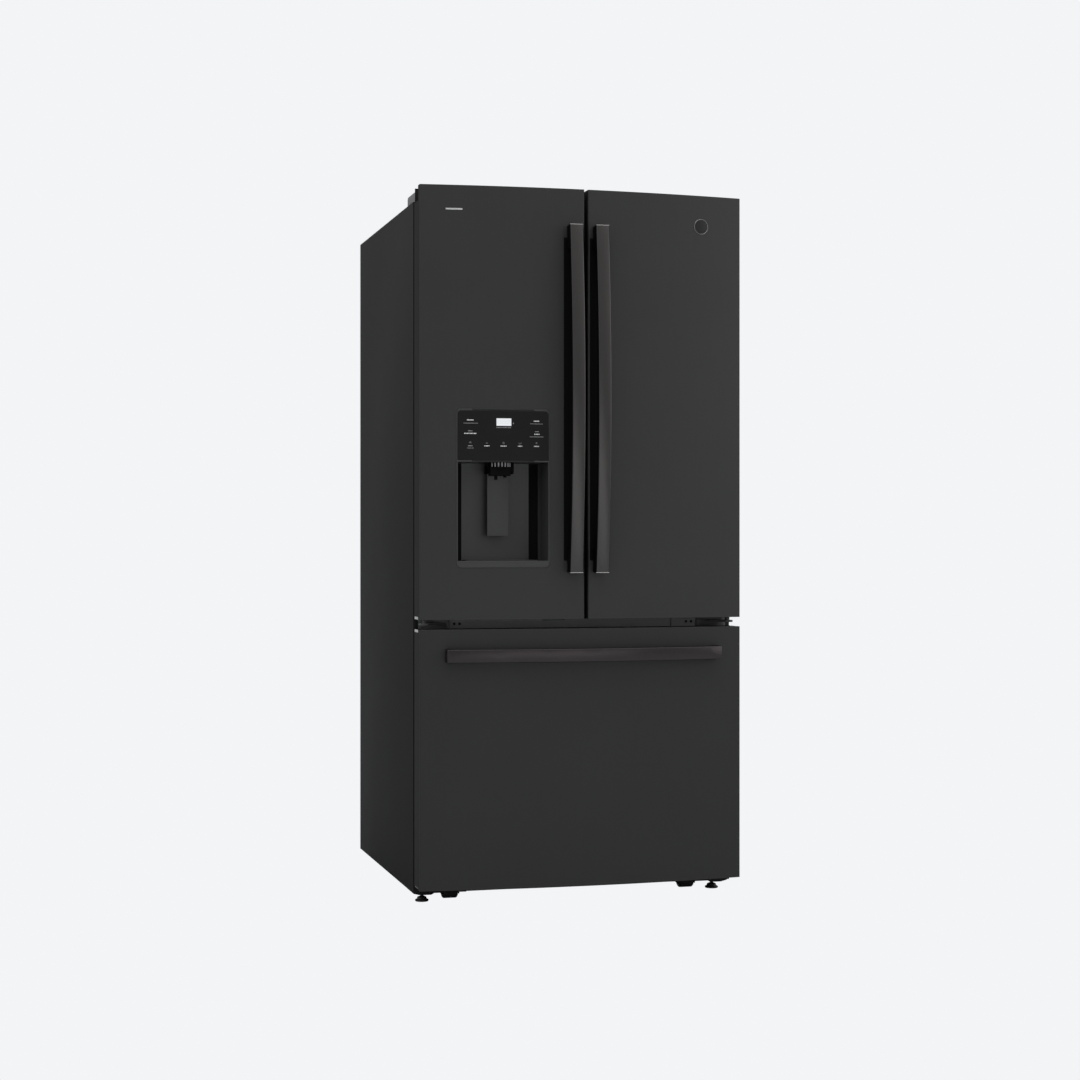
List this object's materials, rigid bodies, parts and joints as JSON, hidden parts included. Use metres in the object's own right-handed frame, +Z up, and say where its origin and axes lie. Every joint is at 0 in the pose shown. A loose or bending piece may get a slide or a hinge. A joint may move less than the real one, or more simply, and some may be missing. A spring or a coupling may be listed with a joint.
{
  "type": "french door refrigerator",
  "caption": "Dark slate french door refrigerator with crowned doors, bar handles, a door dispenser and a freezer drawer below.",
  "frame": {"origin": "on the floor, under the middle of the bounding box", "axes": "+X to the right of someone who faces the doors, -Y out of the front, +Z up"},
  "size_m": [0.832, 0.922, 1.775],
  "materials": {
    "painted_steel": "fine textured dark grey paint",
    "door_steel": "slate matte, finely brushed",
    "handle_metal": "brushed, dark",
    "insulation": "rigid foam",
    "liner": "satin white",
    "zinc_steel": "galvanised",
    "black_steel": "satin black",
    "grey_plastic": "fine texture",
    "black_plastic": "satin",
    "black_gloss": "glossy",
    "seal_rubber": "soft matte",
    "clear_plastic": "clear moulded plastic",
    "shelf_glass": "tempered glass"
  },
  "bodies": {
    "cabinet": {"cabinet_wrap": "painted_steel", "cabinet_insulation": "insulation", "fresh_food_liner": "liner", "freezer_liner": "liner", "base_pan": "zinc_steel", "back_panel": "painted_steel", "rear_access_cover": "zinc_steel", "centre_rail": "black_steel", "top_hinge_left": "black_steel", "top_hinge_right": "black_steel", "hinge_cover_left": "grey_plastic", "hinge_cover_right": "grey_plastic", "centre_hinge_left": "black_steel", "centre_hinge_right": "black_steel", "shelf_upper": "shelf_glass", "shelf_middle": "shelf_glass", "crisper_cover": "shelf_glass", "ice_maker": "liner", "cabinet_rail_left": "zinc_steel", "cabinet_rail_right": "zinc_steel", "evaporator_cover": "liner", "front_bracket_left": "black_steel", "front_bracket_right": "black_steel", "compressor": "black_steel", "condenser_coil": "black_steel"},
    "left_door": {"left_door_skin": "door_steel", "left_door_inner_panel": "liner", "left_door_gasket": "seal_rubber", "left_door_handle": "handle_metal", "dispenser_housing": "black_plastic", "control_panel": "black_gloss", "dispenser_nozzle": "black_plastic", "drip_tray": "black_plastic", "left_door_bin": "clear_plastic"},
    "right_door": {"right_door_skin": "door_steel", "right_door_inner_panel": "liner", "right_door_gasket": "seal_rubber", "right_door_handle": "handle_metal", "right_door_bin_lower": "clear_plastic", "right_door_bin_middle": "clear_plastic", "right_door_bin_upper": "clear_plastic"},
    "flipper": {"flipper_mullion": "black_plastic"},
    "paddle": {"dispenser_paddle": "black_plastic"},
    "freezer_drawer": {"drawer_skin": "door_steel", "drawer_inner_panel": "liner", "drawer_gasket": "seal_rubber", "drawer_handle": "handle_metal", "drawer_frame": "zinc_steel", "freezer_basket_lower": "clear_plastic"},
    "upper_basket": {"freezer_basket_upper": "clear_plastic"},
    "crisper_left": {"crisper_left": "clear_plastic"},
    "crisper_right": {"crisper_right": "clear_plastic"},
    "ice_bucket": {"ice_bucket": "clear_plastic"},
    "leg_left": {"levelling_leg_left": "black_steel"},
    "leg_right": {"levelling_leg_right": "black_steel"},
    "front_roller_left": {"front_roller_left": "black_plastic"},
    "front_roller_right": {"front_roller_right": "black_plastic"},
    "rear_roller_left": {"rear_roller_left": "black_plastic"},
    "rear_roller_right": {"rear_roller_right": "black_plastic"},
    "fan": {"condenser_fan": "black_plastic"}
  },
  "joints": [
    {"name": "left_door_swing", "type": "hinge", "parent": "cabinet", "child": "left_door", "pos_m": [-0.396, -0.339, 1.2], "axis": [0, 0, -1], "range_deg": [0, 120]},
    {"name": "right_door_swing", "type": "hinge", "parent": "cabinet", "child": "right_door", "pos_m": [0.396, -0.339, 1.2], "axis": [0, 0, 1], "range_deg": [0, 120]},
    {"name": "flipper_turn", "type": "hinge", "parent": "left_door", "child": "flipper", "pos_m": [-0.044, -0.289, 1.2], "axis": [0, 0, -1], "range_deg": [0, 90]},
    {"name": "paddle_press", "type": "hinge", "parent": "left_door", "child": "paddle", "pos_m": [-0.21025, -0.339, 1.0745], "axis": [1, 0, 0], "range_deg": [0, 7], "stiffness_Nm_per_rad": 0.6, "springref_deg": -2.86},
    {"name": "drawer_slide", "type": "slide", "parent": "cabinet", "child": "freezer_drawer", "axis": [0, -1, 0], "range_m": [0, 0.4]},
    {"name": "upper_basket_slide", "type": "slide", "parent": "freezer_drawer", "child": "upper_basket", "axis": [0, 1, 0], "range_m": [0, 0.12]},
    {"name": "crisper_left_slide", "type": "slide", "parent": "cabinet", "child": "crisper_left", "axis": [0, -1, 0], "range_m": [0, 0.07]},
    {"name": "crisper_right_slide", "type": "slide", "parent": "cabinet", "child": "crisper_right", "axis": [0, -1, 0], "range_m": [0, 0.13]},
    {"name": "ice_bucket_slide", "type": "slide", "parent": "cabinet", "child": "ice_bucket", "axis": [0, -1, 0], "range_m": [0, 0.085]},
    {"name": "leg_left_lift", "type": "slide", "parent": "cabinet", "child": "leg_left", "axis": [0, 0, 1], "range_m": [0, 0.006]},
    {"name": "leg_right_lift", "type": "slide", "parent": "cabinet", "child": "leg_right", "axis": [0, 0, 1], "range_m": [0, 0.006]},
    {"name": "front_roller_left_spin", "type": "hinge", "parent": "cabinet", "child": "front_roller_left", "pos_m": [-0.313, -0.247, 0.026], "axis": [1, 0, 0], "continuous": true},
    {"name": "front_roller_right_spin", "type": "hinge", "parent": "cabinet", "child": "front_roller_right", "pos_m": [0.313, -0.247, 0.026], "axis": [1, 0, 0], "continuous": true},
    {"name": "rear_roller_left_spin", "type": "hinge", "parent": "cabinet", "child": "rear_roller_left", "pos_m": [-0.313, 0.401, 0.022], "axis": [1, 0, 0], "continuous": true},
    {"name": "rear_roller_right_spin", "type": "hinge", "parent": "cabinet", "child": "rear_roller_right", "pos_m": [0.313, 0.401, 0.022], "axis": [1, 0, 0], "continuous": true},
    {"name": "fan_spin", "type": "hinge", "parent": "cabinet", "child": "fan", "pos_m": [0.01, 0.341, 0.125], "axis": [1, 0, 0], "continuous": true}
  ]
}
